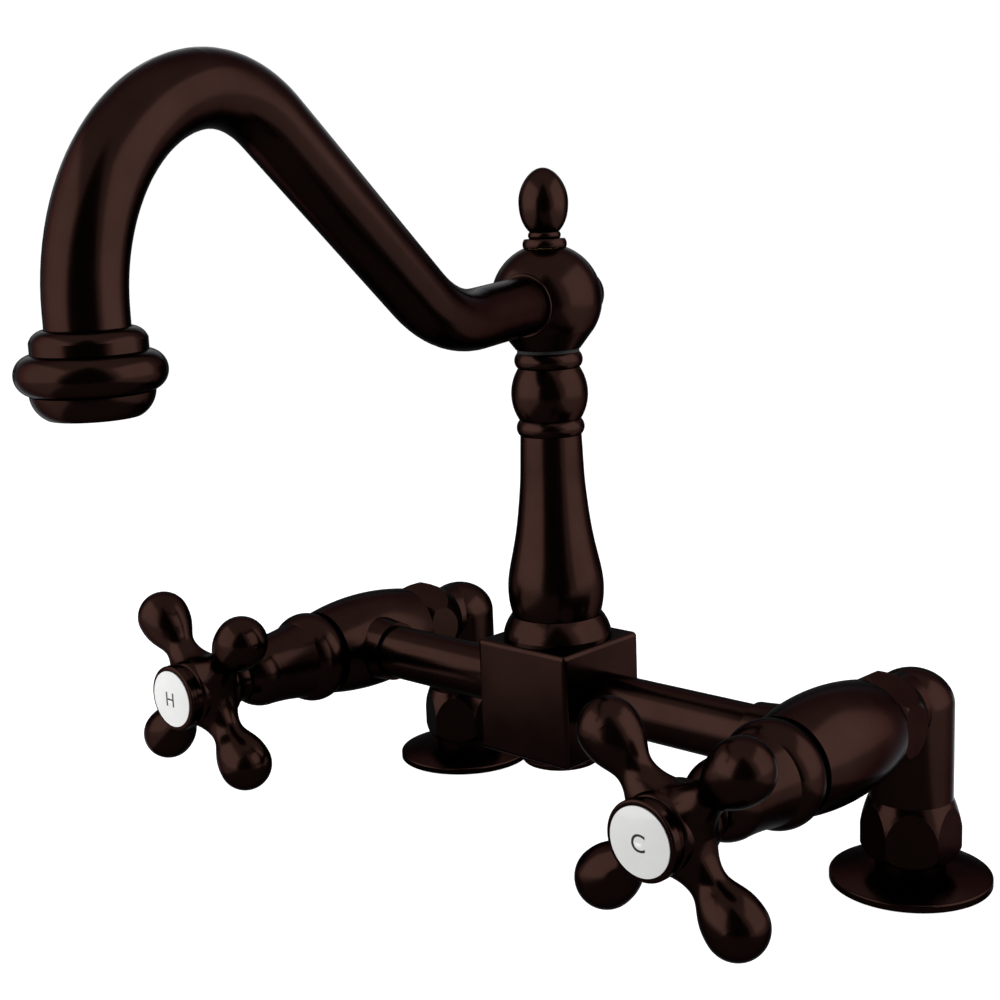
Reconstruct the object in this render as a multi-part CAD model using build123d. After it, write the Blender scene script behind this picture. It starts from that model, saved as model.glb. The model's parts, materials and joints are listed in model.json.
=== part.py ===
"""Bridge kitchen faucet with two cross handles, a swivelling spout and its inner working pieces.

Millimetres, +Z up. The origin lies on the worktop, midway between the two holes that the shanks pass
through. The shanks stand on the X axis, hot at -X and cold at +X, and the handles and spout face -Y.
"""
import os
from math import cos, radians, sin, sqrt

from build123d import *

# ---- Setting out -----------------------------------------------------------------------------------
hole_centres = 203.2        # standard 8 inch spacing of the two worktop holes
bridge_forward = 56.0       # from the line of the holes to the line of the bridge
bridge_height = 60.5        # of the bridge and both valve axes above the worktop
spout_turn = 13.0           # how far the spout has been swung towards the cold side
handle_turn = {"hot": 42.0, "cold": 42.0}    # of the first arm above level, closed

# ---- Fits ------------------------------------------------------------------------------------------
running_gap = 0.05          # radial clearance of a turning fit
face_gap = 0.10             # between faces that slide past each other
slip_gap = 0.02             # radial clearance of screwed, soldered and pressed joints

# ---- Tubes and block -------------------------------------------------------------------------------
bridge_tube_r = 9.6
spout_tube_r = 9.3
tube_wall = 1.2
block_size = 38.5
block_round = 1.6
socket_depth = 8.0          # of the bridge tubes in the block
waterway_r = 6.5
block_plug_r = 13.4
block_plug_height = 5.2
block_plug_round = 2.0
block_plug_stem_r = 9.0
block_plug_stem = 7.0

# ---- Column ----------------------------------------------------------------------------------------
spigot_r = 10.5
spigot_length = 9.0
foot_r = 18.2
foot_rim = 1.3              # height of its straight lower edge
foot_height = 8.0
foot_bulge = 0.5            # of the round from that edge up to the column
foot_neck_r = 14.8
belly_r = 16.0
belly_rise = 10.6           # of the widest part above the foot ring
shoulder_r = 14.1
shoulder_rise = 21.2
waist_r = 12.4
waist_rise = 30.2
stem_r = 11.0
stem_rise = 42.2
neck_r = 10.1
baluster_height = 60.5
bead_height = 5.1           # of each of the two rings on the upper column
bead_swell = 1.1
bulb_height = 17.0
bulb_swell = 2.5

# ---- Spout pivot -----------------------------------------------------------------------------------
post_thread_r = 8.5
post_thread_length = 12.0
post_r = 8.0
post_neck_r = 4.0
post_stud_r = 3.0
post_stud_length = 11.0
port_r = 2.6                # of the four holes that let the water out of the post
ring_cord_r = 1.0           # of the O-rings on the post
ring_inset = 1.908          # of the upper O-ring below the post's top
bearing_thickness = 1.0
hub_r = 18.05
hub_rise = 16.9             # of the ball's centre above the column
hub_foot_r = 10.6
hub_cone_r = 15.0           # where the cone under the ball meets it
hub_top_r = 7.3
hub_roof = 6.2              # thickness over the post
washer_thickness = 1.0
washer_r = 6.0
pivot_nut_flats = 10.0
pivot_nut_height = 3.4
pivot_recess_r = 6.3
finial_base_r = 6.9
finial_base_height = 2.9
finial_ring_height = 2.3    # of the smaller ring on the base
finial_neck_r = 4.8
finial_r = 8.0
finial_height = 25.4
finial_widest = 14.6        # height of the widest part of the finial above its foot

# ---- Spout -----------------------------------------------------------------------------------------
spout_inset = 10.4          # of the tube's inner end from the pivot axis
ferrule_r = 10.2
ferrule_start = 13.4        # from the pivot axis
ferrule_length = 3.0
plug_r = 8.0
plug_seat = 16.0            # from the pivot axis
plug_length = 11.6
plug_crown = 1.6
plug_stem_r = 5.5
plug_stem_length = 4.0
dip_angle = 2.7             # below level, of the tube where it leaves the hub
dip_run = 44.4              # from the pivot axis to the first bend
rise_bend_r = 50.0
rise_angle = 36.7
rise_run = 78.9
crown_bend_r = 37.2
crown_angle = 45.2          # of the tighter first part of the crown
drop_bend_r = 47.8
drop_run = 9.0              # straight tube below the crown

# ---- Outlet ----------------------------------------------------------------------------------------
nozzle_shoulder = 2.6
nozzle_r = 12.7
nozzle_height = 2.5
bead_r = 16.5
outlet_bead_height = 8.9
tube_grip = 5.3             # of the nozzle on the tube
aerator_thread_r = 11.0
aerator_thread_length = 6.0
aerator_cup_r = 13.5
aerator_cup_height = 5.3
aerator_round = 3.4
aerator_bore_r = 8.6
screen_ledge = 1.2          # width of the lip that holds the screen
screen_thickness = 0.8
screen_hole_r = 0.55
screen_pitch = 2.2
screen_rings = 3
strainer_thickness = 1.4    # of its rim, and a third of its height
strainer_holes = 8
strainer_hole_r = 1.1
aerator_washer_thickness = 1.4

# ---- Valve bodies, as distances along each valve's axis ----------------------------------------------
body_behind = 26.0          # of the bridge line
body_ahead = 17.5
body_end_r = 15.4
body_swell = 2.3
boss_reach = 22.0           # of the tube boss from the valve's axis
boss_lip = 1.2              # of the boss around the tube
boss_flare = 3.4
tube_end_inset = 12.0       # of the bridge tube's end from the valve's axis
chamber_r = 10.2
chamber_behind = 14.0       # of the bridge line
chamber_ahead = 7.0
inlet_r = 6.5
nose_r = 13.0
nose_length = 7.5

# ---- Bonnets ---------------------------------------------------------------------------------------
bonnet_bead_length = 13.0
bonnet_bead_r = 16.4
bonnet_groove_r = 13.9
bonnet_bell_length = 25.8
bonnet_flare = 0.4          # hollow of the bell's side between the bead and its front
bonnet_front_r = 12.1       # where the bell starts to round over
bonnet_round = 9.6          # length of that round
bonnet_round_bulge = 1.1
bonnet_mouth_r = 8.2
bonnet_mouth_gap = 0.3      # round the cartridge's neck
bonnet_wall = 1.6

# ---- Ceramic cartridges ------------------------------------------------------------------------------
head_r = 11.4               # of the threaded head in the mouth of the valve body
head_hex_flats = 19.0
head_hex_length = 6.0
barrel_r = 9.4
barrel_wall = 1.1
cartridge_neck_r = 7.0
cartridge_neck_length = 32.0
disc_r = 8.1
disc_thickness = 2.6
disc_window_r = 6.4
disc_web_r = 1.6
disc_window_angle = 76.0
seat_washer_thickness = 2.2
window_height = 6.0
spindle_r = 4.0
spindle_flange_thickness = 2.0
tongue_width = 3.0
tongue_depth = 1.0
clip_thickness = 1.0
clip_groove_depth = 0.6
clip_r = 5.8
spline_teeth = 16
spline_depth = 0.45
spline_length = 8.0
spline_gap = 0.04

# ---- Cross handles -----------------------------------------------------------------------------------
handle_back_length = 15.5   # from the back of the skirt to the plane of the arms
handle_front_length = 10.4  # from the arms to the seat of the button ring
skirt_r = 7.9
hub_waist_r = 9.6
hub_front_r = 11.0
hub_socket_r = 5.0          # of the hollow in the skirt, round the spindle
arm_ball_reach = 30.9
arm_ball_r = 9.0
arm_neck_r = 5.4
arm_neck_reach = 18.0
arm_root_r = 9.9            # hidden in the hub, where the flared arms run together
arm_root_reach = 8.0
arm_count = 4
screw_r = 2.0
screw_head_r = 3.6
screw_head_height = 2.4
screw_length = 12.0
screw_slot_width = 1.0
screw_depth = 4.5           # of the screw's seat below the button ring
screw_floor = 2.0           # of metal between the spindle's end and the screw's head
button_ring_r = 11.4
button_ring_height = 3.2
button_r = 9.8
button_thickness = 2.4
button_crown = 0.6
button_proud = 0.3
button_post_r = 5.9
button_post_length = 3.0
button_float = 0.6          # between the button's post and the screw's pocket

# ---- Elbows ------------------------------------------------------------------------------------------
elbow_r = 13.5              # of the leg up from the worktop
elbow_leg_r = 11.2          # of the level leg
elbow_crown = 11.6          # rise of the round top over the level leg's axis
elbow_fullness = 0.55       # of that round, between a cone at 0 and a square corner at 1
collar_flats = 28.2
collar_peak_r = 16.6
collar_end_r = 13.8
collar_length = 20.0
collar_peak = 7.4           # of the widest part from the collar's end
collar_end_bulge = 1.2
collar_bulge = 0.5
elbow_foot = 9.3            # height of the elbow's lower end above the worktop
union_r = 9.5
union_length = 7.0
union_washer_thickness = 1.6

# ---- Deck fittings -------------------------------------------------------------------------------------
flange_r = 26.3
flange_rim = 2.2
flange_rise = 4.2
flange_ring_r = 11.4
gasket_r = 23.5
gasket_inner_r = 13.5
gasket_thickness = 1.4
gasket_proud = 0.2          # of the flange's rim, before it is pressed flat
shank_r = 10.45             # 1/2 inch straight pipe thread
shank_bore_r = 6.0
shank_grip = 14.0           # of the elbow on the shank
worktop_thickness = 30.0
deck_washer_r = 19.0
deck_washer_thickness = 1.6
lock_nut_flats = 30.0
lock_nut_height = 7.0
lock_nut_crown = 1.2
tail_length = 10.0          # of thread left between the lock nut and the relief groove
relief_width = 2.0
relief_r = 9.6
supply_length = 16.0
supply_chamfer = 0.8

# ---- Levels and stations that follow from the sizes above ----------------------------------------------
block_top = bridge_height + block_size / 2
block_bottom = bridge_height - block_size / 2
foot_top = block_top + foot_height
baluster_top = foot_top + baluster_height
lower_bead_top = baluster_top + bead_height
bulb_top = lower_bead_top + bulb_height
column_top = bulb_top + bead_height
hub_centre = column_top + hub_rise
hub_bottom = column_top + bearing_thickness + face_gap
hub_top = hub_centre + sqrt(hub_r**2 - hub_top_r**2)
post_top = hub_top - hub_roof
pivot_shelf = post_top + hub_roof / 2

deck_washer_top = -worktop_thickness
lock_nut_top = deck_washer_top - deck_washer_thickness
lock_nut_bottom = lock_nut_top - lock_nut_height
relief_top = lock_nut_bottom - tail_length
supply_top = relief_top - relief_width
shank_bottom = supply_top - supply_length
shank_top = elbow_foot + shank_grip

seam = bridge_forward - body_behind
body_front = bridge_forward + body_ahead
chamber_back = bridge_forward - chamber_behind
chamber_front = bridge_forward + chamber_ahead
bonnet_back = body_front + face_gap
bonnet_front = bonnet_back + bonnet_bead_length + bonnet_bell_length
cartridge_front = body_front + head_hex_length + cartridge_neck_length
handle_back = bonnet_front + 4 * face_gap
arm_plane = handle_back + handle_back_length
hub_front = arm_plane + handle_front_length

disc_back = chamber_back + seat_washer_thickness
discs_meet = disc_back + disc_thickness
disc_front = discs_meet + disc_thickness
spindle_shoulder = disc_front + tongue_depth + spindle_flange_thickness
screw_seat = hub_front - screw_depth
spindle_front = screw_seat - screw_floor
spline_start = spindle_front - spline_length
clip_station = cartridge_front + face_gap


# ---- Shaping helpers -------------------------------------------------------------------------------
def outline(start, *steps):
    """A closed face from start through each step back to start.

    A step (r, h) is a straight edge, and a step (r, h, bulge) is an arc that swells by bulge to the
    right of its way.
    """
    edges, here = [], start
    for step in steps:
        there = step[:2]
        bulge = step[2] if len(step) == 3 else 0
        edges.append(SagittaArc(here, there, -bulge) if bulge else Line(here, there))
        here = there
    edges.append(Line(here, start))
    return make_face(Wire(edges))


def turned(start, *steps):
    """A lathe-turned piece about the Z axis, with its outline as (radius, height)."""
    return revolve(Plane.XZ * outline(start, *steps), Axis.Z)


def dome(r, rise):
    """Bulge of the arc that rises by rise from radius r to meet the axis square."""
    sphere_r = (r**2 + rise**2) / (2 * rise)
    return sphere_r - sqrt(sphere_r**2 - (r**2 + rise**2) / 4)


def rod(r, low, high):
    """A round bar about the Z axis between two heights."""
    return Pos(0, 0, low) * Cylinder(r, high - low, align=(Align.CENTER, Align.CENTER, Align.MIN))


def ring(outer_r, inner_r, low, high):
    """A plain ring or length of tube about the Z axis."""
    return rod(outer_r, low, high) - rod(inner_r, low - 1, high + 1)


def hex_bar(flats, low, high, turn=0.0):
    """A hexagonal bar about the Z axis, measured across its flats."""
    hexagon = Rot(0, 0, turn) * RegularPolygon(flats / 2, 6, major_radius=False)
    return Pos(0, 0, low) * extrude(hexagon, high - low)


def o_ring(seat_r, cord_r, height):
    """A rubber ring whose inside rests on a groove of radius seat_r."""
    return Pos(0, 0, height) * Torus(seat_r + cord_r, cord_r)


def cross_hole(r, reach, height):
    """A bar along X through the Z axis, from -reach to reach."""
    return Pos(0, 0, height) * Rot(0, 90, 0) * Cylinder(r, 2 * reach)


# ---- Places: each piece is shaped about its own Z axis and then put where it belongs -------------------
def on_bridge(piece):
    return Pos(0, -bridge_forward, 0) * piece


def on_spout(piece):
    """Pieces that swivel are shaped with the spout along +X and the pivot along Z."""
    return Pos(0, -bridge_forward, 0) * Rot(0, 0, spout_turn - 90) * piece


def on_valve(side, piece):
    """Z of the piece runs forward along the valve's axis, from the line of the worktop holes."""
    return Pos(side * hole_centres / 2, 0, bridge_height) * Rot(90, 0, 0) * piece


def on_deck(side, piece):
    return Pos(side * hole_centres / 2, 0, 0) * piece


# ---- Block, bridge tubes and column ----------------------------------------------------------------
def centre_block():
    """The cube that joins both bridge tubes and carries the column."""
    cube = Pos(0, 0, bridge_height) * Box(block_size, block_size, block_size)
    cube = fillet(cube.edges(), block_round)
    cube -= cross_hole(waterway_r, block_size, bridge_height)
    for side in (-1, 1):
        middle = side * (block_size / 2 - socket_depth / 2)
        socket = Rot(0, 90, 0) * Cylinder(bridge_tube_r + slip_gap, socket_depth + 2)
        cube -= Pos(middle + side, 0, bridge_height) * socket
    cube -= rod(waterway_r, bridge_height, block_top + 1)
    cube -= rod(spigot_r + slip_gap, block_top - spigot_length, block_top + 1)
    cube -= rod(block_plug_stem_r + slip_gap, block_bottom - 1, block_bottom + block_plug_stem)
    return on_bridge(cube)


def block_plug():
    """The round cap screwed into the block from below."""
    head = block_bottom - block_plug_height
    plug = turned(
        (0, head), (block_plug_r - block_plug_round, head), (block_plug_r, head + block_plug_round, 0.8),
        (block_plug_r, block_bottom), (block_plug_stem_r, block_bottom),
        (block_plug_stem_r, block_bottom + block_plug_stem), (0, block_bottom + block_plug_stem))
    return on_bridge(plug)


def bridge_tube(side):
    """Tube from its socket in the block to its seat in the valve body."""
    inner = block_size / 2 - socket_depth
    outer = hole_centres / 2 - tube_end_inset
    tube = ring(bridge_tube_r, bridge_tube_r - tube_wall, inner, outer)
    return on_bridge(Pos(0, 0, bridge_height) * Rot(0, side * 90, 0) * tube)


def column():
    """The turned baluster: foot ring, tapering body, and a bulb between two beads."""
    foot = outline(
        (0, block_top - spigot_length), (spigot_r, block_top - spigot_length), (spigot_r, block_top),
        (foot_r, block_top), (foot_r, block_top + foot_rim),
        (foot_neck_r + 0.3, foot_top, foot_bulge), (0, foot_top))
    body_edges = Spline(
        (foot_neck_r, foot_top), (belly_r, foot_top + belly_rise), (shoulder_r, foot_top + shoulder_rise),
        (waist_r, foot_top + waist_rise), (stem_r, foot_top + stem_rise), (neck_r, baluster_top),
        tangents=((0.3, 1), (-0.04, 1)))
    body = make_face(Wire([
        Line((0, foot_top), (foot_neck_r, foot_top)), body_edges,
        Line((neck_r, baluster_top), (0, baluster_top)), Line((0, baluster_top), (0, foot_top))]))
    crown = outline(
        (0, baluster_top), (neck_r, baluster_top), (neck_r, lower_bead_top, bead_swell),
        (neck_r, bulb_top, bulb_swell), (neck_r, column_top, bead_swell), (0, column_top))
    solid = revolve(Plane.XZ * (foot + body + crown), Axis.Z)
    solid -= rod(waterway_r, block_top - spigot_length - 1, column_top - post_thread_length + 1)
    solid -= rod(post_thread_r + slip_gap, column_top - post_thread_length, column_top + 1)
    return on_bridge(solid)


# ---- Spout pivot -----------------------------------------------------------------------------------
def groove_levels():
    """Heights of the two O-rings, as far below the ports as above them."""
    spacing = post_top - ring_inset - hub_centre
    return (hub_centre - spacing, hub_centre + spacing)


def pivot_post():
    """The hollow post that the spout turns on, with ports to let the water into the hub."""
    stud_top = pivot_shelf + face_gap + post_stud_length
    post = turned(
        (0, column_top - post_thread_length), (post_thread_r, column_top - post_thread_length),
        (post_thread_r, column_top), (post_r, column_top), (post_r, post_top),
        (post_neck_r, post_top), (post_neck_r, pivot_shelf + face_gap),
        (post_stud_r, pivot_shelf + face_gap), (post_stud_r, stud_top), (0, stud_top))
    post -= rod(post_r - 3, column_top - post_thread_length - 1, hub_centre + 2 * port_r)
    for turn in (0, 90):
        post -= Rot(0, 0, turn + 45) * cross_hole(port_r, post_r + 1, hub_centre)
    for level in groove_levels():
        post -= ring(post_r + 1, groove_r(), level - 1.2 * ring_cord_r, level + 1.2 * ring_cord_r)
    return on_bridge(post)


def groove_r():
    """Depth of the O-ring grooves, which leaves the rings just inside the hub's bore."""
    return post_r + running_gap - 2 * ring_cord_r - slip_gap


def pivot_o_rings():
    return on_bridge(Compound([o_ring(groove_r(), ring_cord_r, level) for level in groove_levels()]))


def pivot_bearing():
    """Nylon ring that the spout's hub turns on."""
    return on_bridge(ring(hub_foot_r - 0.4, post_r + slip_gap, column_top, column_top + bearing_thickness))


def pivot_washer():
    low = pivot_shelf + face_gap
    return on_bridge(ring(washer_r, post_stud_r + slip_gap, low, low + washer_thickness))


def pivot_nut():
    low = pivot_shelf + face_gap + washer_thickness
    nut = hex_bar(pivot_nut_flats, low, low + pivot_nut_height)
    return on_bridge(nut - rod(post_stud_r + slip_gap, low - 1, low + pivot_nut_height + 1))


def finial():
    """The egg-shaped finial, screwed down over the pivot nut."""
    low = hub_top + face_gap
    base_top = low + finial_base_height
    neck = base_top + finial_ring_height
    widest = low + finial_widest
    swell = Spline((finial_neck_r, neck), (finial_r, widest), tangents=((1, 1), (0, 1)))
    top = low + finial_height
    tip = Bezier(
        (finial_r, widest), (finial_r, widest + (top - widest) / 2), (finial_r / 2, top), (0, top))
    foot = outline(
        (0, low), (finial_base_r, low), (finial_base_r - 0.3, base_top, 0.4),
        (finial_neck_r, base_top), (finial_neck_r, neck, 0.5), (0, neck))
    body = make_face(Wire([
        Line((0, neck), (finial_neck_r, neck)), swell, tip, Line((0, low + finial_height), (0, neck))]))
    solid = revolve(Plane.XZ * (foot + body), Axis.Z)
    nut_top = pivot_shelf + face_gap + washer_thickness + pivot_nut_height
    solid -= rod(pivot_recess_r - 0.2, low - 1, nut_top + face_gap)
    stud_top = pivot_shelf + face_gap + post_stud_length
    solid -= rod(post_stud_r + slip_gap, low - 1, stud_top + face_gap)
    return on_bridge(solid)


# ---- Spout -----------------------------------------------------------------------------------------
def along_socket(piece):
    """Z of the piece runs from the hub's centre along the tube's inner end."""
    return Pos(0, 0, hub_centre) * Rot(0, 90 + dip_angle, 0) * piece


def behind_hub(piece):
    """Z of the piece runs from the hub's centre away from the spout."""
    return Pos(0, 0, hub_centre) * Rot(0, -90, 0) * piece


def spout_hub():
    """The ball that turns on the post and holds the spout tube."""
    cone_z = hub_centre - sqrt(hub_r**2 - hub_cone_r**2)
    profile = make_face(Wire([
        Line((0, hub_bottom), (hub_foot_r, hub_bottom)),
        Line((hub_foot_r, hub_bottom), (hub_cone_r, cone_z)),
        ThreePointArc((hub_cone_r, cone_z), (hub_r, hub_centre), (hub_top_r, hub_top)),
        Line((hub_top_r, hub_top), (0, hub_top)), Line((0, hub_top), (0, hub_bottom))]))
    hub = revolve(Plane.XZ * profile, Axis.Z)
    hub -= rod(post_r + running_gap, hub_bottom - 1, post_top + face_gap)
    hub -= rod(post_neck_r + running_gap, post_top, hub_top)
    hub -= rod(pivot_recess_r, pivot_shelf, hub_top + 1)
    hub -= along_socket(rod(waterway_r, 0, hub_r))
    hub -= along_socket(rod(spout_tube_r + slip_gap, spout_inset, hub_r + 1))
    hub -= along_socket(rod(ferrule_r + slip_gap, ferrule_start, hub_r + 1))
    hub -= behind_hub(rod(plug_r + slip_gap, plug_seat, hub_r + 1))
    hub -= behind_hub(rod(plug_stem_r + slip_gap, plug_seat - plug_stem_length, plug_seat + 1))
    return on_spout(hub)


def hub_plug():
    """The domed plug that closes the hub opposite the spout."""
    plug = turned(
        (0, plug_seat - plug_stem_length), (plug_stem_r, plug_seat - plug_stem_length),
        (plug_stem_r, plug_seat), (plug_r, plug_seat), (plug_r, plug_seat + plug_length - plug_crown),
        (0, plug_seat + plug_length, dome(plug_r, plug_crown)))
    return on_spout(behind_hub(plug))


def ferrule():
    """The ring that finishes the joint of the spout tube and the hub."""
    end = ferrule_start + ferrule_length
    edge = turned(
        (spout_tube_r + slip_gap, ferrule_start), (ferrule_r, ferrule_start),
        (ferrule_r, end - 1), (spout_tube_r + 0.5, end, 0.3), (spout_tube_r + slip_gap, end))
    return on_spout(along_socket(edge))


def spout_line():
    """The spout's centre line in its own upright plane: out, up, over and down."""
    dip = PolarLine((0, hub_centre), dip_run, -dip_angle).trim(spout_inset / dip_run, 1)
    lift = JernArc(dip @ 1, dip % 1, rise_bend_r, rise_angle + dip_angle)
    rise = PolarLine(lift @ 1, rise_run, rise_angle)
    crown = JernArc(rise @ 1, rise % 1, crown_bend_r, -crown_angle)
    drop = JernArc(crown @ 1, crown % 1, drop_bend_r, -(90 + rise_angle - crown_angle))
    end = drop @ 1
    leg = Line(end, (end.X, end.Y - drop_run))
    return Wire([dip, lift, rise, crown, drop, leg])


def spout_tube():
    path = Plane.XZ * spout_line()
    section = Plane(path @ 0, z_dir=path % 0)
    tube = sweep(section * Circle(spout_tube_r), path)
    tube -= sweep(section * Circle(spout_tube_r - tube_wall), path)
    return on_spout(tube)


def over_outlet(piece):
    """Z of the piece runs down from the spout tube's lower end."""
    end = spout_line() @ 1
    return on_spout(Pos(end.X, 0, end.Y) * Rot(180, 0, 0) * piece)


nozzle_top = -tube_grip
nozzle_bottom = nozzle_top + nozzle_shoulder + nozzle_height + outlet_bead_height
aerator_bottom = nozzle_bottom + aerator_cup_height


def nozzle():
    """The collar and bead that end the spout, threaded inside for the aerator."""
    shoulder = nozzle_top + nozzle_shoulder
    bead = shoulder + nozzle_height
    solid = turned(
        (0, nozzle_top), (spout_tube_r + 0.6, nozzle_top), (nozzle_r, shoulder, 0.5),
        (nozzle_r, bead), (nozzle_r + 0.2, nozzle_bottom, bead_r - nozzle_r - 0.1),
        (0, nozzle_bottom))
    solid -= rod(spout_tube_r + slip_gap, nozzle_top - 1, 0)
    solid -= rod(spout_tube_r - tube_wall, -1, nozzle_bottom)
    thread = nozzle_bottom - aerator_thread_length - aerator_washer_thickness
    solid -= rod(aerator_thread_r + slip_gap, thread, nozzle_bottom + 1)
    return over_outlet(solid)


def aerator_washer():
    top = nozzle_bottom - aerator_thread_length - aerator_washer_thickness
    washer = ring(aerator_thread_r, aerator_bore_r - 1, top, top + aerator_washer_thickness)
    return over_outlet(washer)


def aerator_housing():
    """The cup at the mouth of the spout."""
    top = nozzle_bottom - aerator_thread_length
    cup = turned(
        (0, top), (aerator_thread_r, top), (aerator_thread_r, nozzle_bottom),
        (aerator_cup_r, nozzle_bottom), (aerator_cup_r - aerator_round, aerator_bottom, 0.8),
        (0, aerator_bottom))
    cup -= rod(aerator_bore_r, top - 1, aerator_bottom - screen_thickness)
    cup -= rod(aerator_bore_r - screen_ledge, top - 1, aerator_bottom + 1)
    return over_outlet(cup)


def hole_pattern(rings, pitch):
    """Centres of holes in rings of six, twelve, eighteen and so on round a middle one."""
    centres = [(0, 0)]
    for step in range(1, rings + 1):
        for hole in range(6 * step):
            angle = radians(60 * hole / step)
            centres.append((step * pitch * cos(angle), step * pitch * sin(angle)))
    return centres


def aerator_screen():
    """The perforated disc at the mouth."""
    low = aerator_bottom - 2 * screen_thickness
    disc = rod(aerator_bore_r - slip_gap, low, low + screen_thickness)
    hole = rod(screen_hole_r, low - 1, low + screen_thickness + 1)
    holes = [Pos(x, y, 0) * hole for x, y in hole_pattern(screen_rings, screen_pitch)]
    return over_outlet(disc - holes)


def aerator_strainer():
    """The plastic cone and flow disc above the screen."""
    top = nozzle_bottom - aerator_thread_length
    low = top + 3 * strainer_thickness
    body = turned(
        (0, top), (aerator_bore_r - slip_gap, top), (aerator_bore_r - slip_gap, top + strainer_thickness),
        (aerator_bore_r - 2, low), (0, low))
    hole = Pos(aerator_bore_r / 2, 0, 0) * rod(strainer_hole_r, top - 1, low + 1)
    for turn in range(strainer_holes):
        body -= Rot(0, 0, 360 * turn / strainer_holes) * hole
    return over_outlet(body)


# ---- Valves ----------------------------------------------------------------------------------------
def valve_body(side):
    """The barrel with its tube boss, cartridge chamber, inlet and threaded nose."""
    barrel = turned(
        (0, seam), (body_end_r, seam), (body_end_r, body_front, body_swell), (nose_r, body_front),
        (nose_r, body_front + nose_length), (0, body_front + nose_length))
    inward = Pos(0, 0, bridge_forward) * Rot(0, -side * 90, 0)
    boss_r = bridge_tube_r + boss_lip
    barrel += inward * turned((0, 0), (boss_r + boss_flare, 0), (boss_r, boss_reach, -0.5), (0, boss_reach))
    barrel -= inward * rod(bridge_tube_r + slip_gap, tube_end_inset, boss_reach + 1)
    barrel -= inward * rod(waterway_r, 0, boss_reach)
    barrel -= rod(union_r + slip_gap, seam - 1, seam + union_length + union_washer_thickness)
    barrel -= rod(inlet_r, seam - 1, chamber_back + 1)
    barrel -= rod(chamber_r, chamber_back, chamber_front + 1)
    barrel -= rod(head_r + slip_gap, chamber_front, body_front + nose_length + 1)
    return on_valve(side, barrel)


def bonnet(side):
    """The bell that covers the cartridge, with a bead at its large end."""
    shell = turned(
        (0, bonnet_back), (bonnet_groove_r, bonnet_back),
        (bonnet_groove_r, bonnet_back + bonnet_bead_length, bonnet_bead_r - bonnet_groove_r),
        (bonnet_front_r, bonnet_front - bonnet_round, -bonnet_flare),
        (bonnet_mouth_r, bonnet_front, bonnet_round_bulge), (0, bonnet_front))
    shell -= rod(nose_r + slip_gap, bonnet_back - 1, body_front + nose_length + face_gap)
    shell -= rod(bonnet_front_r - bonnet_wall, bonnet_back, bonnet_front - bonnet_round)
    shell -= rod(cartridge_neck_r + bonnet_mouth_gap, bonnet_back, bonnet_front + 1)
    return on_valve(side, shell)


def cartridge(side):
    """The brass cartridge: barrel with side windows, threaded head, hexagon and neck."""
    hex_front = body_front + head_hex_length
    solid = turned(
        (0, disc_back), (barrel_r, disc_back), (barrel_r, chamber_front), (head_r, chamber_front),
        (head_r, body_front), (0, body_front))
    solid += hex_bar(head_hex_flats, body_front, hex_front)
    solid += rod(cartridge_neck_r, hex_front, cartridge_front)
    solid -= rod(barrel_r - barrel_wall, disc_back - 1, spindle_shoulder + face_gap)
    solid -= rod(spindle_r + running_gap, disc_back, cartridge_front + 1)
    solid -= Pos(0, 0, disc_front + window_height / 2) * Box(4 * barrel_r, disc_r, window_height)
    return on_valve(side, solid)


def seat_washer(side):
    """The rubber ring that seals the cartridge against the valve body."""
    return on_valve(side, ring(barrel_r, inlet_r, chamber_back, disc_back))


def disc_windows(low, high, turn):
    """Two opposite sectors, the water's way through a ceramic disc."""
    half = disc_window_angle / 2
    cut = None
    for start in (turn, turn + 180):
        inner = PolarLine((0, 0), disc_window_r, start - half)
        outer = PolarLine((0, 0), disc_window_r, start + half)
        rim = ThreePointArc(inner @ 1, PolarLine((0, 0), disc_window_r, start) @ 1, outer @ 1)
        sector = extrude(Pos(0, 0, low) * make_face(Wire([inner, rim, outer])), high - low)
        cut = sector if cut is None else cut + sector
    return cut - rod(disc_web_r, low - 1, high + 1)


def fixed_disc(side):
    disc = rod(disc_r, disc_back, discs_meet) - disc_windows(disc_back - 1, discs_meet + 1, 0)
    return on_valve(side, disc)


def moving_disc(side):
    """The disc that turns with the spindle, shown closed: its windows lie across the fixed ones."""
    low, high = discs_meet + face_gap / 2, disc_front
    disc = rod(disc_r - running_gap, low, high) - disc_windows(low - 1, high + 1, 90)
    slot = Box(2 * disc_r + 1, tongue_width + 2 * slip_gap, tongue_depth)
    return on_valve(side, disc - Pos(0, 0, high - tongue_depth / 2) * slot)


def spline_bar(tip_r, low, high):
    """A toothed bar about the Z axis."""
    corners = []
    for tooth in range(2 * spline_teeth):
        r = tip_r - spline_depth * (tooth % 2)
        angle = radians(180 * tooth / spline_teeth)
        corners.append((r * cos(angle), r * sin(angle)))
    return Pos(0, 0, low) * extrude(make_face(Polyline(*corners, close=True)), high - low)


def spindle(side):
    """The stem from the moving disc to the handle, with its drive tongue and splined end."""
    low = disc_front + face_gap / 2
    stem = rod(spindle_r, low, spline_start) + spline_bar(spindle_r, spline_start, spindle_front)
    stem += rod(barrel_r - barrel_wall - running_gap, spindle_shoulder - spindle_flange_thickness,
                spindle_shoulder)
    tongue = Box(2 * disc_r - 2, tongue_width, tongue_depth + spindle_flange_thickness)
    stem += Pos(0, 0, disc_front - tongue_depth / 2 + spindle_flange_thickness / 2) * tongue
    groove_low = clip_station
    stem -= ring(spindle_r + 1, spindle_r - clip_groove_depth, groove_low, groove_low + clip_thickness)
    stem -= rod(screw_r + slip_gap, spindle_front - screw_length - 1, spindle_front + 1)
    return on_valve(side, stem)


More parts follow.
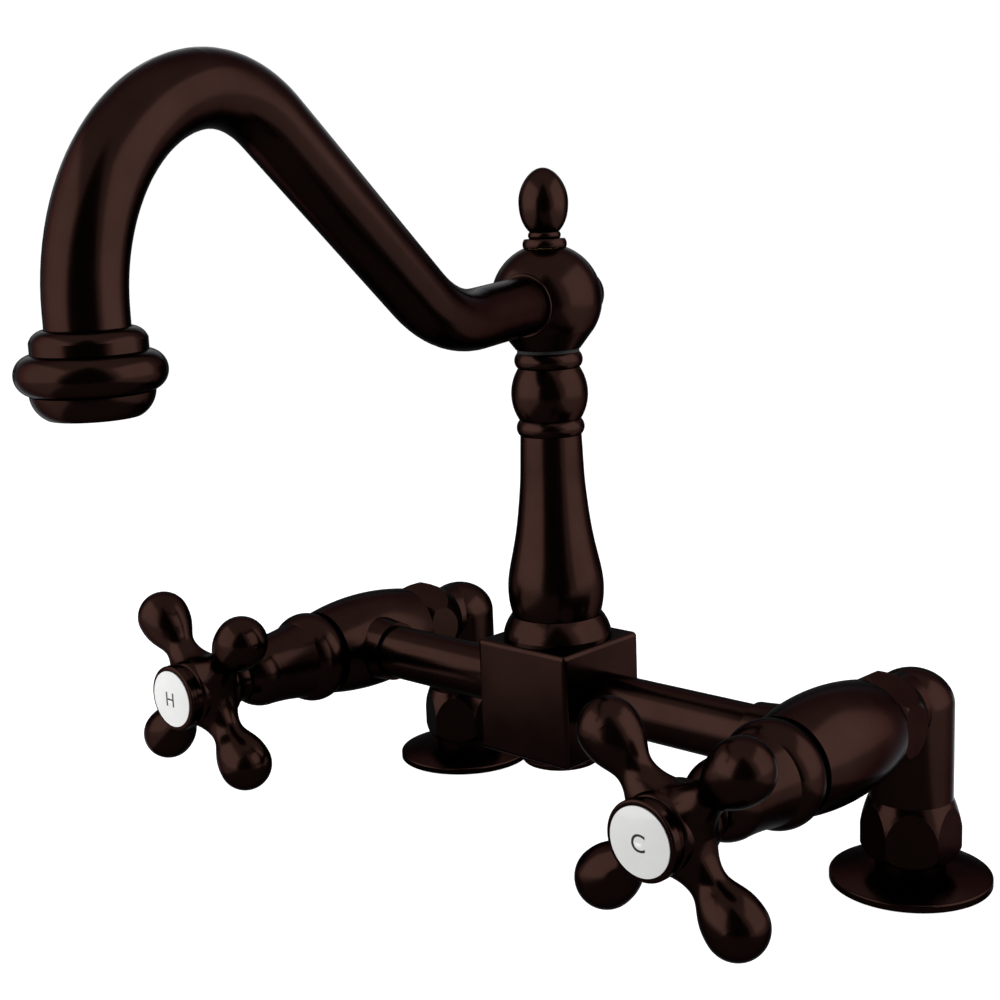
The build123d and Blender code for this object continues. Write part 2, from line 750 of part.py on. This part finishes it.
def spindle_clip(side):
    """The open ring that keeps the spindle from being pushed in."""
    clip = ring(clip_r, spindle_r - clip_groove_depth + slip_gap, clip_station, clip_station + clip_thickness)
    gap = Pos(clip_r / 2 + 1, 0, clip_station) * Box(clip_r, 2.0, 4 * clip_thickness)
    return on_valve(side, clip - gap)


# ---- Handles ---------------------------------------------------------------------------------------
def arm():
    """One arm along +X: flared at its root, slim at its neck, swelling to a ball."""
    tip = arm_ball_reach + arm_ball_r
    side_line = Spline(
        (arm_root_r, arm_root_reach), (arm_neck_r, arm_neck_reach), (arm_ball_r, arm_ball_reach),
        tangents=((-1, 1), (0, 1)))
    diagonal = arm_ball_r * cos(radians(45))
    ball = ThreePointArc((arm_ball_r, arm_ball_reach), (diagonal, arm_ball_reach + diagonal), (0, tip))
    face = make_face(Wire([
        Line((0, arm_root_reach), (arm_root_r, arm_root_reach)), side_line, ball,
        Line((0, tip), (0, arm_root_reach))]))
    return Rot(0, 90, 0) * revolve(Plane.XZ * face, Axis.Z)


def handle(side, water):
    """The cross handle: a waisted hub with four arms, hollow behind for the cartridge's neck."""
    waist = arm_plane - arm_ball_r
    hub = turned(
        (0, handle_back), (skirt_r - 0.6, handle_back), (skirt_r, handle_back + 1.4, 0.3),
        (hub_waist_r, waist, -0.3), (hub_front_r, hub_front, -0.6), (0, hub_front))
    first = Pos(0, 0, arm_plane) * Rot(0, 0, handle_turn[water]) * arm()
    hub += [Rot(0, 0, 360 * turn / arm_count) * first for turn in range(arm_count)]
    hub -= rod(hub_socket_r, handle_back - 1, spline_start + face_gap)
    hub -= spline_bar(spindle_r + spline_gap, spline_start - 1, spindle_front + face_gap)
    hub -= rod(screw_r + slip_gap, spindle_front, hub_front)
    hub -= rod(screw_head_r + 0.3, screw_seat, hub_front)
    hub -= rod(button_post_r + slip_gap, hub_front - button_post_length, hub_front + 1)
    return on_valve(side, hub)


def handle_screw(side):
    """Holds the handle on the spindle, hidden under the button."""
    head_top = screw_seat + screw_head_height
    screw = rod(screw_r, spindle_front - screw_length, screw_seat) + rod(screw_head_r, screw_seat, head_top)
    slot = Box(3 * screw_head_r, screw_slot_width, screw_head_height)
    return on_valve(side, screw - Pos(0, 0, head_top) * slot)


def button_ring(side):
    """The bezel round the porcelain button."""
    top = hub_front + button_ring_height
    bezel = turned(
        (0, hub_front), (button_ring_r - 0.5, hub_front), (button_ring_r, hub_front + 1.0, 0.2),
        (button_ring_r, top - 0.8), (button_ring_r - 0.8, top, 0.25), (0, top))
    bezel -= rod(button_r + slip_gap, top - button_thickness, top + 1)
    bezel -= rod(button_post_r + slip_gap, hub_front - 1, top)
    return on_valve(side, bezel)


def button(side):
    """The plain white porcelain button, pressed through its ring into the hub."""
    seat = hub_front + button_ring_height - button_thickness
    face = hub_front + button_ring_height + button_proud
    post_end = hub_front - button_post_length + button_float
    disc = turned(
        (0, post_end), (button_post_r, post_end), (button_post_r, seat), (button_r, seat),
        (button_r, face), (0, face + button_crown, dome(button_r, button_crown)))
    disc -= rod(screw_head_r + 0.5, hub_front - button_post_length - 1, seat)
    return on_valve(side, disc)


# ---- Elbows ----------------------------------------------------------------------------------------
def collar(leg_r):
    """A swelling collar cut by six flats, whose tops come out arched. It ends at height zero."""
    swell = turned(
        (0, 0), (collar_end_r, 0), (collar_peak_r, collar_peak, collar_end_bulge),
        (leg_r, collar_length, collar_bulge), (0, collar_length))
    return swell & hex_bar(collar_flats, 0, collar_length, 30)


def elbow_leg():
    """The upright leg of the elbow, turned in one with its low round top."""
    top = bridge_height + elbow_crown
    crown = Bezier(
        (elbow_r, bridge_height), (elbow_r, bridge_height + elbow_fullness * elbow_crown),
        (elbow_fullness * elbow_r, top), (0, top))
    face = make_face(Wire([
        Line((0, elbow_foot), (elbow_r, elbow_foot)), Line((elbow_r, elbow_foot), (elbow_r, bridge_height)),
        crown, Line((0, top), (0, elbow_foot))]))
    return revolve(Plane.XZ * face, Axis.Z)


def elbow(side):
    """Close elbow from the valve body to the worktop, with a collar at each end."""
    foot = elbow_leg() + Pos(0, 0, elbow_foot) * collar(elbow_r)
    union = rod(elbow_leg_r, 0, seam) + rod(union_r, seam, seam + union_length)
    union += Pos(0, 0, seam) * Rot(180, 0, 0) * collar(elbow_leg_r)
    solid = on_deck(side, foot) + on_valve(side, union)
    solid -= on_deck(side, rod(waterway_r, elbow_foot - 1, bridge_height))
    solid -= on_deck(side, rod(shank_r + slip_gap, elbow_foot - 1, shank_top))
    solid -= on_deck(side, Pos(0, 0, bridge_height) * Sphere(waterway_r))
    solid -= on_valve(side, rod(waterway_r, 0, seam + union_length + 1))
    return solid


def union_washer(side):
    low = seam + union_length
    return on_valve(side, ring(union_r, waterway_r, low, low + union_washer_thickness))


# ---- Deck fittings ---------------------------------------------------------------------------------
def deck_flange(side):
    """The domed escutcheon, hollow below for its gasket, with a ring up to the elbow."""
    plate = turned(
        (0, gasket_proud), (flange_r, gasket_proud), (flange_r, flange_rim),
        (flange_r - 0.8, flange_rim + 0.5, 0.2), (flange_ring_r, flange_rise, 0.5),
        (flange_ring_r, elbow_foot), (0, elbow_foot))
    plate -= rod(gasket_r + slip_gap, -1, gasket_thickness)
    plate -= rod(shank_r + slip_gap, -1, elbow_foot + 1)
    return on_deck(side, plate)


def flange_gasket(side):
    return on_deck(side, ring(gasket_r, gasket_inner_r, 0, gasket_thickness))


def shank(side):
    """The tube through the worktop: thread, relief groove, and the end for the supply hose."""
    tube = turned(
        (0, shank_bottom), (shank_r - supply_chamfer, shank_bottom),
        (shank_r, shank_bottom + supply_chamfer), (shank_r, supply_top), (relief_r, supply_top),
        (relief_r, relief_top), (shank_r, relief_top), (shank_r, shank_top), (0, shank_top))
    return on_deck(side, tube - rod(shank_bore_r, shank_bottom - 1, shank_top + 1))


def deck_washer(side):
    return on_deck(side, ring(deck_washer_r, shank_r + slip_gap, lock_nut_top, deck_washer_top))


def lock_nut(side):
    """Hexagon nut with its corners turned down on the lower face."""
    corner_r = lock_nut_flats / sqrt(3)
    blank = turned(
        (0, lock_nut_bottom), (lock_nut_flats / 2, lock_nut_bottom),
        (corner_r, lock_nut_bottom + lock_nut_crown), (corner_r, lock_nut_top), (0, lock_nut_top))
    nut = blank & hex_bar(lock_nut_flats, lock_nut_bottom, lock_nut_top)
    return on_deck(side, nut - rod(shank_r + slip_gap, lock_nut_bottom - 1, lock_nut_top + 1))


# ---- The assembly ----------------------------------------------------------------------------------
def middle_pieces():
    return {
        "centre_block": centre_block(),
        "block_plug": block_plug(),
        "column": column(),
        "pivot_post": pivot_post(),
        "pivot_o_rings": pivot_o_rings(),
        "pivot_bearing": pivot_bearing(),
        "pivot_washer": pivot_washer(),
        "pivot_nut": pivot_nut(),
        "finial": finial(),
        "spout_hub": spout_hub(),
        "hub_plug": hub_plug(),
        "ferrule": ferrule(),
        "spout_tube": spout_tube(),
        "nozzle": nozzle(),
        "aerator_washer": aerator_washer(),
        "aerator_strainer": aerator_strainer(),
        "aerator_screen": aerator_screen(),
        "aerator_housing": aerator_housing(),
    }


def side_pieces(side, water):
    return {
        "bridge_tube": bridge_tube(side),
        "valve_body": valve_body(side),
        "bonnet": bonnet(side),
        "cartridge": cartridge(side),
        "seat_washer": seat_washer(side),
        "fixed_disc": fixed_disc(side),
        "moving_disc": moving_disc(side),
        "spindle": spindle(side),
        "spindle_clip": spindle_clip(side),
        "handle": handle(side, water),
        "handle_screw": handle_screw(side),
        "button_ring": button_ring(side),
        "button": button(side),
        "elbow": elbow(side),
        "union_washer": union_washer(side),
        "deck_flange": deck_flange(side),
        "flange_gasket": flange_gasket(side),
        "shank": shank(side),
        "deck_washer": deck_washer(side),
        "lock_nut": lock_nut(side),
    }


def all_pieces():
    pieces = middle_pieces()
    for side, water in ((-1, "hot"), (1, "cold")):
        for name, shape in side_pieces(side, water).items():
            pieces[f"{name}_{water}"] = shape
    return pieces


os.makedirs("parts", exist_ok=True)
for node, shape in all_pieces().items():
    export_step(shape, f"parts/{node}.step")
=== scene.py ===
# %% [markdown]
# # A bridge kitchen faucet in Blender
# The faucet has a cube in the middle with a turned column on it. A gooseneck spout swivels on the column.
# A tube runs from each side of the cube to a valve, and each valve has a cross handle with a white button.
# The solid pieces are loaded as they are. This file gives them their finishes, adds the small details that
# a solid model leaves out, and sets up the lamps, the floor and the camera.

# %% Load the faucet
import bpy
import json
from math import cos, pi, radians, sin
from mathutils import Matrix, Vector


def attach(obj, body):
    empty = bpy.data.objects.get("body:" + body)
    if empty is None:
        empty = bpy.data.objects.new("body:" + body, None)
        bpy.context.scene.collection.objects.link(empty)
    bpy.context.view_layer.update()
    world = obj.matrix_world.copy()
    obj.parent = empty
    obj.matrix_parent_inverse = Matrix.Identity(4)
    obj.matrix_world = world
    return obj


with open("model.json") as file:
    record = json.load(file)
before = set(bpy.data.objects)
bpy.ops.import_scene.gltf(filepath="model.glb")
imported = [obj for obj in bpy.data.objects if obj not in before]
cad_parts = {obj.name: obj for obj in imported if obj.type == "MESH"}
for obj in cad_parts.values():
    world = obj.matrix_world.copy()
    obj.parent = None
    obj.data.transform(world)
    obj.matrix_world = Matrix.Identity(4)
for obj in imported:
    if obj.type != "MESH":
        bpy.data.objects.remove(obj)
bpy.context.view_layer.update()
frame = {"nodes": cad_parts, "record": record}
print("nodes:", len(frame["nodes"]))

# %% [markdown]
# ## Helpers for materials
# Each finish is a node tree. A small class keeps the wiring short: it adds a node, sets its sockets and
# links it to others. A socket is given by its name, with _ for a space, or as i0, i1 and so on by its place,
# because some nodes have several sockets of one name.

# %% A short way to wire nodes
class Tree:
    """Adds nodes to a node tree, with their settings, values and links."""

    def __init__(self, tree):
        self.tree = tree

    def add(self, kind, settings=None, **sockets):
        node = self.tree.nodes.new(kind)
        for name, value in (settings or {}).items():
            setattr(node, name, value)
        for name, value in sockets.items():
            by_place = name[0] == "i" and name[1:].isdigit()
            socket = node.inputs[int(name[1:]) if by_place else name.replace("_", " ")]
            if isinstance(value, bpy.types.NodeSocket):
                self.tree.links.new(value, socket)
            else:
                socket.default_value = value
        return node


def new_material(name):
    """An empty material with an output, and its tree."""
    material = bpy.data.materials.new(name)
    material.use_nodes = True
    material.node_tree.nodes.clear()
    return material, Tree(material.node_tree)


def grey(value):
    return (value, value, value, 1.0)


print("helpers: Tree, new_material, grey")

# %% [markdown]
# ## A shared effect: uneven surface
# Hand-rubbed bronze is never even. Its brown rubs thin in patches, and a fine grain stays from polishing.
# This node group holds that effect once for all the finishes. A broad noise gives the patches, a fine one
# gives the grain, and the grain also gives a bump normal. Both read Object coordinates, so the pattern stays
# on the metal when a piece turns.

# %% The group for an uneven surface
def make_uneven_group():
    group = bpy.data.node_groups.new("uneven surface", "ShaderNodeTree")
    face = group.interface
    for name in ("Patch size", "Grain size", "Bump height"):
        face.new_socket(name, in_out="INPUT", socket_type="NodeSocketFloat")
    for name, kind in (("Patches", "Float"), ("Grain", "Float"), ("Normal", "Vector")):
        face.new_socket(name, in_out="OUTPUT", socket_type="NodeSocket" + kind)
    tree = Tree(group)
    start = tree.add("NodeGroupInput")
    place = tree.add("ShaderNodeTexCoord").outputs["Object"]
    patch_scale, grain_scale = (
        tree.add("ShaderNodeMath", {"operation": "DIVIDE"}, i0=1.0, i1=start.outputs[name]).outputs[0]
        for name in ("Patch size", "Grain size"))
    patches = tree.add("ShaderNodeTexNoise", Vector=place, Scale=patch_scale, Detail=3.0, Roughness=0.55)
    grain = tree.add("ShaderNodeTexNoise", Vector=place, Scale=grain_scale, Detail=2.0, Roughness=0.6)
    bump = tree.add("ShaderNodeBump", Strength=1.0, Distance=start.outputs["Bump height"],
                    Height=grain.outputs["Fac"])
    tree.add("NodeGroupOutput", Patches=patches.outputs["Fac"], Grain=grain.outputs["Fac"],
             Normal=bump.outputs["Normal"])
    return group


uneven_group = make_uneven_group()
noise_low, noise_high = 0.30, 0.70        # the part of a noise's range that most of it lies in


def uneven(tree, patch_size, grain_size, bump_height):
    """Puts the group into a material, with its sizes in metres."""
    node = tree.add("ShaderNodeGroup", {"node_tree": uneven_group})
    node.inputs["Patch size"].default_value = patch_size
    node.inputs["Grain size"].default_value = grain_size
    node.inputs["Bump height"].default_value = bump_height
    return node.outputs


print("group:", uneven_group.name, [socket.name for socket in uneven_group.interface.items_tree])

# %% [markdown]
# ## Oil-rubbed bronze
# The faucet is brass with a dark bronze coat, rubbed until the brown shows. In soft light it is nearly
# black, with brown only in the highlights. A metal shader does this: its base colour tints what it
# reflects, so a dark brown base gives brown highlights and black elsewhere. Any metal turns to a mirror
# at its rim, and the grey tint keeps those rims thin. Noise moves the colour and the roughness a little, so
# that the highlights have soft, uneven edges.

# %% The bronze
bronze_in_hollows, bronze_where_rubbed = (0.0142, 0.0066, 0.0052), (0.0186, 0.0088, 0.0070)
bronze_rim_tint = (0.46, 0.47, 0.48)
bronze_smoothest, bronze_roughest = 0.19, 0.24
fully_rubbed = 0.72                       # the value of the patches from which the bronze is fully rubbed


def make_bronze():
    material, tree = new_material("oil-rubbed bronze")
    rub = uneven(tree, patch_size=0.018, grain_size=0.0005, bump_height=0.000002)
    colour = tree.add("ShaderNodeValToRGB", Fac=rub["Patches"])
    ramp = colour.color_ramp
    ramp.elements[0].position, ramp.elements[0].color = noise_low, (*bronze_in_hollows, 1)
    ramp.elements[1].position, ramp.elements[1].color = fully_rubbed, (*bronze_where_rubbed, 1)
    gloss = tree.add("ShaderNodeMapRange", Value=rub["Patches"], From_Min=noise_low, From_Max=noise_high,
                     To_Min=bronze_smoothest, To_Max=bronze_roughest)
    shader = tree.add("ShaderNodeBsdfPrincipled", Base_Color=colour.outputs["Color"], Metallic=1.0,
                      Roughness=gloss.outputs["Result"], Normal=rub["Normal"])
    shader.inputs["Specular Tint"].default_value = (*bronze_rim_tint, 1)
    tree.add("ShaderNodeOutputMaterial", Surface=shader.outputs["BSDF"])
    return material


bronze = make_bronze()
print("material:", bronze.name)

# %% [markdown]
# ## Porcelain, brass, steel, rubber and plastic
# The buttons are glazed porcelain: white, smooth and glossy. The hidden and lower fittings are plain
# machined brass and stainless steel, the seals are black rubber, and the bearing is black nylon. Each has
# a little variation, so that no surface is one flat colour. Rubber and nylon get little shine, because the
# bronze beside them reflects even less.

# %% A finish from a few values
coat_roughness = 0.06
roughness_spread = 0.15


def make_finish(name, low, high, metallic, roughness, patch_size, grain_size, bump_height, coat=0.0,
                shine=0.5):
    """A finish whose colour runs from low to high over soft patches, with its sizes in metres."""
    material, tree = new_material(name)
    marks = uneven(tree, patch_size, grain_size, bump_height)
    colour = tree.add("ShaderNodeValToRGB", Fac=marks["Patches"])
    ramp = colour.color_ramp
    ramp.elements[0].position, ramp.elements[0].color = noise_low, (*low, 1)
    ramp.elements[1].position, ramp.elements[1].color = noise_high, (*high, 1)
    gloss = tree.add("ShaderNodeMapRange", Value=marks["Grain"], From_Min=noise_low, From_Max=noise_high,
                     To_Min=roughness * (1 - roughness_spread), To_Max=roughness * (1 + roughness_spread))
    shader = tree.add("ShaderNodeBsdfPrincipled", Base_Color=colour.outputs["Color"], Metallic=metallic,
                      Roughness=gloss.outputs["Result"], Normal=marks["Normal"])
    shader.inputs["Specular IOR Level"].default_value = shine
    shader.inputs["Coat Weight"].default_value = coat
    shader.inputs["Coat Roughness"].default_value = coat_roughness
    tree.add("ShaderNodeOutputMaterial", Surface=shader.outputs["BSDF"])
    return material


print("helper: make_finish")

# %% [markdown]
# ## Each piece gets its finish
# The record names a material slot for each solid. The finishes have the same names, so that one loop dresses
# all the pieces. The colours run from a darker to a lighter shade of one material.

# %% The finishes of the solids
finishes = {
    "bronze": bronze,
    "porcelain": make_finish(
        "glazed porcelain", (0.74, 0.74, 0.73), (0.80, 0.80, 0.79), metallic=0.0, roughness=0.16,
        patch_size=0.012, grain_size=0.0009, bump_height=0.000001, coat=0.6),
    "brass": make_finish(
        "machined brass", (0.52, 0.36, 0.15), (0.66, 0.48, 0.22), metallic=1.0, roughness=0.30,
        patch_size=0.010, grain_size=0.0004, bump_height=0.000004),
    "steel": make_finish(
        "stainless steel", (0.50, 0.50, 0.51), (0.60, 0.60, 0.61), metallic=1.0, roughness=0.28,
        patch_size=0.010, grain_size=0.0004, bump_height=0.000003),
    "alumina": make_finish(
        "lapped alumina", (0.78, 0.76, 0.70), (0.86, 0.84, 0.78), metallic=0.0, roughness=0.30,
        patch_size=0.006, grain_size=0.0003, bump_height=0.000001),
    "rubber": make_finish(
        "black rubber", (0.018, 0.018, 0.018), (0.035, 0.035, 0.036), metallic=0.0, roughness=0.62,
        patch_size=0.006, grain_size=0.0004, bump_height=0.000010, shine=0.2),
    "nylon": make_finish(
        "black nylon", (0.010, 0.010, 0.010), (0.018, 0.018, 0.018), metallic=0.0, roughness=0.60,
        patch_size=0.008, grain_size=0.0005, bump_height=0.000004, shine=0.1),
}
slot_of = {part["node"]: part["material_slot"] for part in frame["record"]["subparts"]}
for node, piece in frame["nodes"].items():
    finish = finishes[slot_of[node]]
    if piece.data.materials:
        piece.material_slots[0].material = finish
    else:
        piece.data.materials.append(finish)
print("finishes:", {name: list(slot_of.values()).count(name) for name in finishes})

# %% [markdown]
# ## The middle of each handle
# The arms of a cast cross handle run together in a smooth round middle. The solid handle leaves small
# pockets there, between the feet of its arms. A hollow drum with rounded rims, the size of those pockets,
# closes them. It starts at the origin as a cylinder: its rims are bevelled, its ends are opened and its wall
# gets a thickness, which leaves the handle's bore free. Then it is put on the handle's axis.

# %% The rounded drums
valve_axis_x, valve_axis_z = 0.1016, 0.0605
arm_plane_y = -0.1283
drum_radius, drum_half_length, drum_rounding, drum_wall = 0.0115, 0.0088, 0.0024, 0.0008
drum_sides, drum_rim_steps = 96, 6
least_rim_angle, smooth_below = radians(60), radians(40)
least_flat = 0.999                        # how closely an end's normal follows the drum's axis


def add_drum(side, water):
    """A hollow drum round one handle's hub. Side is -1 on the left and 1 on the right."""
    bpy.ops.object.select_all(action="DESELECT")
    bpy.ops.mesh.primitive_cylinder_add(vertices=drum_sides, radius=drum_radius, depth=2 * drum_half_length)
    drum = bpy.context.object
    drum.name = f"handle_middle_{water}"
    rims = drum.modifiers.new("rounded rims", "BEVEL")
    rims.width, rims.segments = drum_rounding, drum_rim_steps
    rims.limit_method, rims.angle_limit = "ANGLE", least_rim_angle
    bpy.ops.object.modifier_apply(modifier=rims.name)
    for face in drum.data.polygons:
        face.select = abs(face.normal.z) > least_flat
    bpy.ops.object.mode_set(mode="EDIT")
    bpy.ops.mesh.select_mode(type="FACE")
    bpy.ops.mesh.delete(type="FACE")
    bpy.ops.object.mode_set(mode="OBJECT")
    wall = drum.modifiers.new("wall", "SOLIDIFY")
    wall.thickness, wall.offset = drum_wall, -1
    bpy.ops.object.modifier_apply(modifier=wall.name)
    bpy.ops.object.shade_smooth_by_angle(angle=smooth_below)
    drum.rotation_euler = (pi / 2, 0, 0)
    drum.location = (side * valve_axis_x, arm_plane_y, valve_axis_z)
    bpy.ops.object.transform_apply(location=True, rotation=True, scale=True)
    drum.data.materials.append(finishes["bronze"])
    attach(drum, f"{water}_handle")
    return drum


drums = [add_drum(-1, "hot"), add_drum(1, "cold")]
print("drums:", [(drum.name, len(drum.data.vertices)) for drum in drums])

# %% [markdown]
# ## Letters on the buttons
# A plain letter in the glaze says which water each handle turns on: H on the left and C on the right. A
# letter is text that is turned into a thin mesh. Its front stands a hair proud of the button's crown and its
# back lies inside the button, so that it reads as print.

# %% The letters
button_crown_y = -0.1428
letter_size, letter_thickness, letter_proud = 0.0072, 0.0003, 0.00003
ink = make_finish("black ink", (0.020, 0.020, 0.021), (0.030, 0.030, 0.031), metallic=0.0, roughness=0.35,
                  patch_size=0.004, grain_size=0.0003, bump_height=0.000001, shine=0.3)


def add_letter(letter, side, water):
    """A flat printed letter in the middle of one button."""
    bpy.ops.object.select_all(action="DESELECT")
    bpy.ops.object.text_add()
    mark = bpy.context.object
    mark.name = f"button_letter_{water}"
    mark.data.body = letter
    mark.data.size = letter_size
    mark.data.extrude = letter_thickness / 2
    bpy.ops.object.convert(target="MESH")
    mark = bpy.context.object
    bpy.ops.object.origin_set(type="ORIGIN_GEOMETRY", center="BOUNDS")
    mark.rotation_euler = (pi / 2, 0, 0)
    middle_y = button_crown_y - letter_proud + letter_thickness / 2
    mark.location = (side * valve_axis_x, middle_y, valve_axis_z)
    bpy.ops.object.transform_apply(location=True, rotation=True, scale=True)
    mark.data.materials.append(ink)
    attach(mark, f"{water}_handle")
    return mark


marks = [add_letter("H", -1, "hot"), add_letter("C", 1, "cold")]
print("letters:", [(mark.name, [round(1000 * v, 1) for v in mark.dimensions]) for mark in marks])

# %% [markdown]
# ## The camera
# The camera's place, turn and lens come from matching the flanges, valves, column and spout of the solid
# model with the photograph.

# %% The camera
camera_azimuth = 43.20
camera_elevation = 11.03
camera_roll = -2.27
camera_distance = 0.5609
camera_target = Vector((-0.02387, -0.05632, 0.12374))
focal_in_pixels = 1642.0
image_width = 1000
sensor_width = 36


def add_camera():
    """A camera that looks at its target from an azimuth, counted from the front to the right, and a height."""
    azimuth, elevation, roll = radians(camera_azimuth), radians(camera_elevation), radians(camera_roll)
    back = Vector((sin(azimuth) * cos(elevation), -cos(azimuth) * cos(elevation), sin(elevation)))
    right = Vector((cos(azimuth), sin(azimuth), 0))
    up = back.cross(right)
    turned_right = cos(roll) * right + sin(roll) * up
    turned_up = cos(roll) * up - sin(roll) * right
    bpy.ops.object.camera_add()
    camera = bpy.context.object
    camera.name = "camera"
    turn = Matrix((turned_right, turned_up, back)).transposed()
    camera.matrix_world = Matrix.Translation(camera_target + camera_distance * back) @ turn.to_4x4()
    camera.data.sensor_width = sensor_width
    camera.data.lens = focal_in_pixels * sensor_width / image_width
    camera.data.clip_start, camera.data.clip_end = 0.01, 50
    bpy.context.scene.camera = camera
    return camera


camera = add_camera()
print("camera at", [round(v, 4) for v in camera.location], "lens", round(camera.data.lens, 2))

# %% [markdown]
# ## Floor, background and light
# The photograph shows the faucet on plain white, so the floor and the world are white to the camera, and the
# metal reflects that white too. The floor lies at the height of the worktop, with the shanks below it.
# Polished metal is shown by what it reflects. Two large soft lamps to the left and right give the wide
# highlights. Dark cards that only reflections see do the rest: one round the camera gives the dark streak
# down the middle of each round bar, one behind darkens the rims, and mats on the floor darken the undersides.

# %% Directions as the camera sees them
stage_middle = Vector((0, -0.09, 0.10))


def around(turn, distance, height):
    """A place at a turn in degrees to the right of the camera, as seen from above the faucet's middle."""
    azimuth = radians(camera_azimuth + turn)
    return Vector((stage_middle.x + distance * sin(azimuth), stage_middle.y - distance * cos(azimuth), height))


def sideways(turn):
    """The level direction to the right, as seen while looking at the middle from that turn."""
    azimuth = radians(camera_azimuth + turn)
    return Vector((cos(azimuth), sin(azimuth), 0))


def aimed(place, target):
    """The placement of an object whose -Z looks from a place at a target."""
    back = (place - target).normalized()
    right = Vector((0, 0, 1)).cross(back).normalized()
    turn = Matrix((right, back.cross(right), back)).transposed()
    return Matrix.Translation(place) @ turn.to_4x4()


print("the camera's side of the stage:", [round(v, 3) for v in around(0, camera_distance, 0)])

# %% The floor and the dark cards
def seen_white(tree):
    """1 to the camera, through glass and in reflections, and 0 as a light on matt surfaces."""
    path = tree.add("ShaderNodeLightPath").outputs
    direct = tree.add("ShaderNodeMath", {"operation": "MAXIMUM"}, i0=path["Is Camera Ray"],
                      i1=path["Is Transmission Ray"])
    return tree.add("ShaderNodeMath", {"operation": "MAXIMUM"}, i0=direct.outputs[0],
                    i1=path["Is Glossy Ray"]).outputs[0]


def make_floor():
    """A plane that is white to the camera and keeps the faucet's shadow."""
    material, tree = new_material("white floor")
    lit = tree.add("ShaderNodeBsdfDiffuse", Color=grey(floor_grey))
    glow = tree.add("ShaderNodeEmission", Color=grey(1.0), Strength=floor_glow)
    both = tree.add("ShaderNodeAddShader", i0=lit.outputs[0], i1=glow.outputs[0])
    surface = tree.add("ShaderNodeMixShader", Fac=seen_white(tree), i1=lit.outputs[0], i2=both.outputs[0])
    tree.add("ShaderNodeOutputMaterial", Surface=surface.outputs[0])
    bpy.ops.object.select_all(action="DESELECT")
    bpy.ops.mesh.primitive_plane_add(size=floor_size, location=(0, 0, floor_height))
    floor = bpy.context.object
    floor.name = "floor"
    floor.data.materials.append(material)


def add_card(name, shade, corners):
    """A four-cornered card in a shade of grey that shows in reflections and not to the camera."""
    bpy.ops.object.select_all(action="DESELECT")
    bpy.ops.mesh.primitive_plane_add(size=1)
    card = bpy.context.object
    card.name = name
    for vertex, corner in zip(card.data.vertices, corners):
        vertex.co = corner
    material, tree = new_material(name)
    surface = tree.add("ShaderNodeBsdfDiffuse", Color=grey(shade))
    tree.add("ShaderNodeOutputMaterial", Surface=surface.outputs[0])
    card.data.materials.append(material)
    card.visible_camera = False
    card.visible_shadow = False
    card.visible_diffuse = False
    return card


def upright_card(name, shade, turn, distance, low_width, high_width, high):
    """A card that stands on the floor, with its own widths at its foot and at its top."""
    middle, top = around(turn, distance, 0), Vector((0, 0, high))
    across = sideways(turn)
    return add_card(name, shade, (
        middle - across * low_width / 2, middle + across * low_width / 2,
        middle + top - across * high_width / 2, middle + top + across * high_width / 2))


def flat_card(name, shade, near, near_width, far, far_width):
    """A card that lies on the floor from nearer the camera to farther away, with a width at each end."""
    across = sideways(0)
    front, back = around(0, near, mat_height), around(0, far, mat_height)
    return add_card(name, shade, (
        front - across * near_width / 2, front + across * near_width / 2,
        back - across * far_width / 2, back + across * far_width / 2))


floor_size = 40
floor_height = -0.0001
mat_height = 0.00002
floor_grey = 0.65
floor_glow = 0.86
make_floor()
cards = [
    upright_card("card round the camera", 0.08, turn=0, distance=0.62, low_width=0.9, high_width=0.12,
                 high=1.1),
    upright_card("card behind", 0.12, turn=180, distance=0.9, low_width=2.4, high_width=2.4, high=0.4),
    flat_card("mat in front", 0.35, near=0.62, near_width=0.7, far=-0.1, far_width=0.3),
    flat_card("mat behind", 0.10, near=-0.1, near_width=0.3, far=-0.9, far_width=2.0),
]
print("cards:", [card.name for card in cards])

# %% The lamps and the world
def add_lamp(name, turn, distance, height, width, tall, power):
    """A soft rectangular lamp that faces the middle of the stage."""
    bpy.ops.object.light_add(type="AREA")
    lamp = bpy.context.object
    lamp.name = name
    lamp.data.shape = "RECTANGLE"
    lamp.data.size, lamp.data.size_y = width, tall
    lamp.data.energy = power
    lamp.visible_camera = False
    lamp.matrix_world = aimed(around(turn, distance, height), stage_middle)


def make_world(strength):
    """White to the camera and in reflections, and dimmer as a light."""
    world = bpy.data.worlds.new("studio")
    bpy.context.scene.world = world
    world.use_nodes = True
    world.node_tree.nodes.clear()
    tree = Tree(world.node_tree)
    dim = tree.add("ShaderNodeBackground", Color=grey(1.0), Strength=strength)
    white = tree.add("ShaderNodeBackground", Color=grey(1.0), Strength=1.0)
    both = tree.add("ShaderNodeMixShader", Fac=seen_white(tree), i1=dim.outputs[0], i2=white.outputs[0])
    tree.add("ShaderNodeOutputWorld", Surface=both.outputs[0])


make_world(strength=0.25)
add_lamp("left lamp", turn=-74, distance=0.95, height=0.45, width=1.6, tall=1.2, power=12.5)
add_lamp("right lamp", turn=80, distance=0.95, height=0.45, width=1.3, tall=1.2, power=10.2)

# %% [markdown]
# ## Colours as written
# The Standard view shows each colour as it is written. The added pieces stay inside the solids' box.

# %% Colour view
bpy.context.scene.view_settings.view_transform = "Standard"
